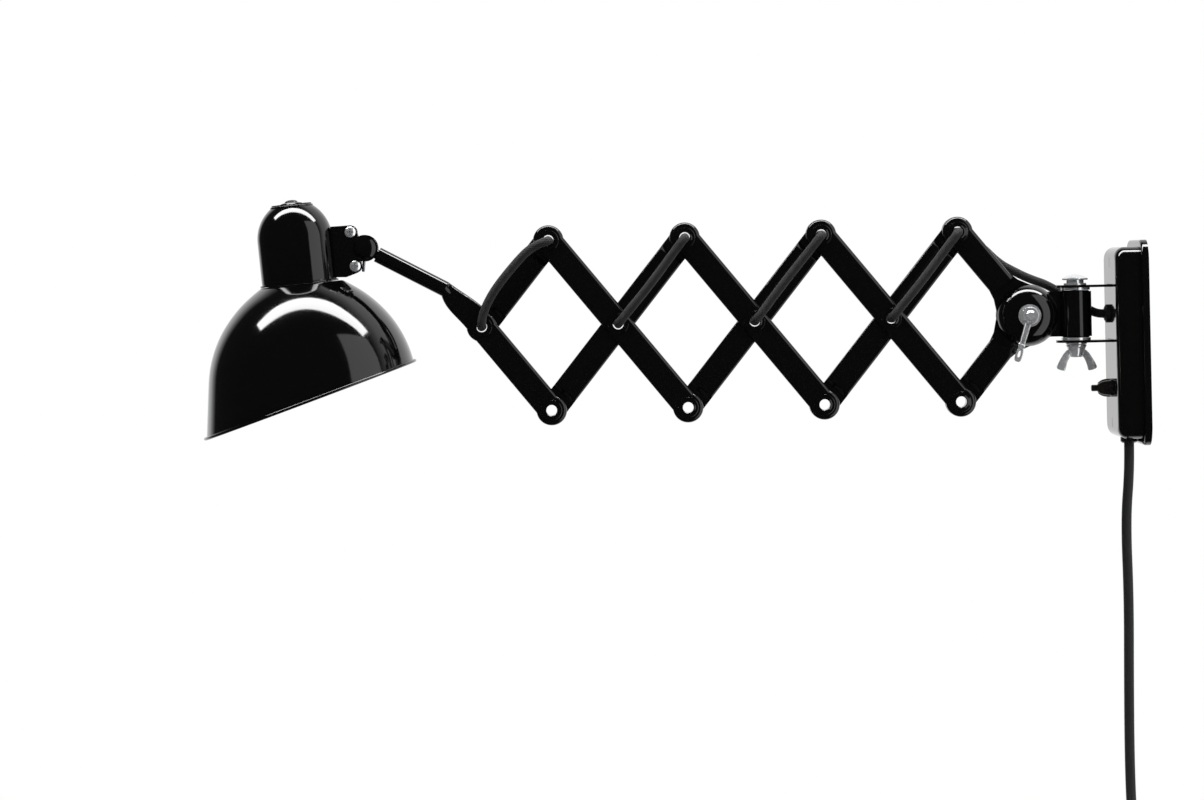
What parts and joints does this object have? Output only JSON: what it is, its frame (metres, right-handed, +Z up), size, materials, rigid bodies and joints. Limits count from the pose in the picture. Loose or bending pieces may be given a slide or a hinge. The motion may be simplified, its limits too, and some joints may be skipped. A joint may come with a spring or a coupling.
{
  "type": "adjustable wall lamp",
  "caption": "Scissor-arm wall lamp with a black wall plate and push switch, a flex threaded along the links, a ball-jointed enamel shade and a coiled mains lead.",
  "frame": {"origin": "centre of the two wall-screw holes, on the wall", "axes": "+X into the wall, the lamp reaches out along -X, +Z up, -Y is the side the picture shows"},
  "size_m": [0.7516, 0.1748, 0.7104],
  "materials": {
    "black_enamel": "gloss",
    "white_enamel": "gloss",
    "chrome": "polished",
    "zinc_steel": "satin",
    "black_plastic": "gloss",
    "white_plastic": "matt",
    "black_rubber": "matt",
    "braided_flex": "woven",
    "brass": "polished",
    "porcelain": "glazed",
    "bulb_glass": "clear"
  },
  "bodies": {
    "wall_unit": {"mounting_plate": "zinc_steel", "plate_cover": "black_enamel", "cover_screws": "black_enamel", "swivel_bracket": "black_enamel", "cable_grommet": "black_rubber", "cord_gland": "black_plastic", "switch_body": "black_plastic", "switch_bezel": "black_plastic", "terminal_block": "white_plastic", "swivel_bolt": "chrome", "swivel_washers": "chrome", "flex_wall_to_swivel": "braided_flex", "mains_cord": "braided_flex", "mains_coil": "braided_flex", "cord_tie": "black_rubber", "plug_body": "black_plastic", "plug_pins": "brass"},
    "button": {"switch_button": "black_plastic"},
    "wing": {"wing_nut": "chrome"},
    "swivel": {"swivel_barrel": "black_enamel", "hub_strap": "black_enamel", "flex_swivel_to_hub": "braided_flex"},
    "hub": {"hub_bolt": "chrome", "front_dome": "black_enamel", "back_dome": "black_enamel", "hub_washers": "chrome"},
    "lever": {"clamp_lever": "chrome"},
    "near_0": {"near_half_link": "black_enamel", "flex_hub_to_arm": "braided_flex"},
    "far_0": {"far_half_link": "black_enamel", "eyelets_0": "black_enamel"},
    "far_1": {"far_link_1": "black_enamel", "eyelets_1": "black_enamel", "flex_front_1": "braided_flex"},
    "near_1": {"near_link_1": "black_enamel", "flex_back_1": "braided_flex"},
    "near_2": {"near_link_2": "black_enamel", "flex_back_2": "braided_flex"},
    "far_2": {"far_link_2": "black_enamel", "eyelets_2": "black_enamel", "flex_front_2": "braided_flex"},
    "far_3": {"far_link_3": "black_enamel", "eyelets_3": "black_enamel", "flex_front_3": "braided_flex"},
    "near_3": {"near_link_3": "black_enamel", "flex_back_3": "braided_flex"},
    "shade_arm_body": {"shade_arm": "black_enamel", "flex_to_shade_arm": "braided_flex"},
    "far_4": {"far_end_link": "black_enamel", "eyelets_4": "black_enamel", "flex_front_4": "braided_flex"},
    "ball": {"ball_stem": "black_enamel"},
    "head": {"head_cap": "black_enamel", "cap_disc": "black_enamel", "joint_plates": "black_enamel", "joint_screws": "chrome", "shade": "black_enamel", "lampholder": "porcelain", "bulb_cap": "brass", "bulb_glass": "bulb_glass"}
  },
  "joints": [
    {"name": "swivel_turn", "type": "hinge", "parent": "wall_unit", "child": "swivel", "pos_m": [-0.0531, 0, 0.023], "axis": [0, 0, 1], "range_deg": [-75, 75], "deforming": ["flex_wall_to_swivel"]},
    {"name": "arm_tilt", "type": "hinge", "parent": "swivel", "child": "hub", "pos_m": [-0.092, 0, 0.023], "axis": [0, 1, 0], "range_deg": [-18, 18], "deforming": ["flex_swivel_to_hub"]},
    {"name": "arm_extend", "type": "hinge", "parent": "hub", "child": "near_0", "pos_m": [-0.092, 0, 0.023], "axis": [0, 1, 0], "range_deg": [-13, 24], "deforming": ["flex_hub_to_arm"]},
    {"name": "far_0_turn", "type": "hinge", "parent": "hub", "child": "far_0", "pos_m": [-0.092, 0, 0.023], "axis": [0, 1, 0], "range_deg": [-24.5, 13.5]},
    {"name": "far_1_turn", "type": "hinge", "parent": "near_0", "child": "far_1", "pos_m": [-0.14652, 0, 0.0908], "axis": [0, 1, 0], "range_deg": [-48.5, 26.5]},
    {"name": "near_1_turn", "type": "hinge", "parent": "far_1", "child": "near_1", "pos_m": [-0.20103, 0, 0.023], "axis": [0, 1, 0], "range_deg": [-26.5, 48.5]},
    {"name": "near_2_turn", "type": "hinge", "parent": "far_1", "child": "near_2", "pos_m": [-0.25554, 0, -0.0448], "axis": [0, 1, 0], "range_deg": [-26.5, 48.5]},
    {"name": "far_2_turn", "type": "hinge", "parent": "near_2", "child": "far_2", "pos_m": [-0.31006, 0, 0.023], "axis": [0, 1, 0], "range_deg": [-48.5, 26.5]},
    {"name": "far_3_turn", "type": "hinge", "parent": "near_2", "child": "far_3", "pos_m": [-0.36457, 0, 0.0908], "axis": [0, 1, 0], "range_deg": [-48.5, 26.5]},
    {"name": "near_3_turn", "type": "hinge", "parent": "far_3", "child": "near_3", "pos_m": [-0.41909, 0, 0.023], "axis": [0, 1, 0], "range_deg": [-26.5, 48.5]},
    {"name": "shade_arm_turn", "type": "hinge", "parent": "far_3", "child": "shade_arm_body", "pos_m": [-0.4736, 0, -0.0448], "axis": [0, 1, 0], "range_deg": [-26.5, 48.5]},
    {"name": "far_4_turn", "type": "hinge", "parent": "shade_arm_body", "child": "far_4", "pos_m": [-0.52812, 0, 0.023], "axis": [0, 1, 0], "range_deg": [-48.5, 26.5]},
    {"name": "head_turn", "type": "hinge", "parent": "shade_arm_body", "child": "ball", "pos_m": [-0.6202, -0.0035, 0.0877], "axis": [-0.8812, 0, 0.4727], "range_deg": [-80, 80]},
    {"name": "head_tilt", "type": "hinge", "parent": "ball", "child": "head", "pos_m": [-0.6202, -0.0035, 0.0877], "axis": [0, 1, 0], "range_deg": [-20, 80]},
    {"name": "switch_press", "type": "slide", "parent": "wall_unit", "child": "button", "axis": [1, 0, 0], "range_m": [0, 0.003], "stiffness_N_per_m": 400},
    {"name": "wing_nut_turn", "type": "hinge", "parent": "wall_unit", "child": "wing", "pos_m": [-0.0531, 0, -0.005], "axis": [0, 0, 1], "continuous": true},
    {"name": "clamp_lever_turn", "type": "hinge", "parent": "hub", "child": "lever", "pos_m": [-0.092, 0, 0.023], "axis": [0, 1, 0], "range_deg": [-10, 90]}
  ],
  "couplings": [
    {"joint": "far_0_turn", "follows": "arm_extend", "ratio": -1},
    {"joint": "far_1_turn", "follows": "arm_extend", "ratio": -2},
    {"joint": "near_1_turn", "follows": "arm_extend", "ratio": 2},
    {"joint": "near_2_turn", "follows": "arm_extend", "ratio": 2},
    {"joint": "far_2_turn", "follows": "arm_extend", "ratio": -2},
    {"joint": "far_3_turn", "follows": "arm_extend", "ratio": -2},
    {"joint": "near_3_turn", "follows": "arm_extend", "ratio": 2},
    {"joint": "shade_arm_turn", "follows": "arm_extend", "ratio": 2},
    {"joint": "far_4_turn", "follows": "arm_extend", "ratio": -2}
  ]
}
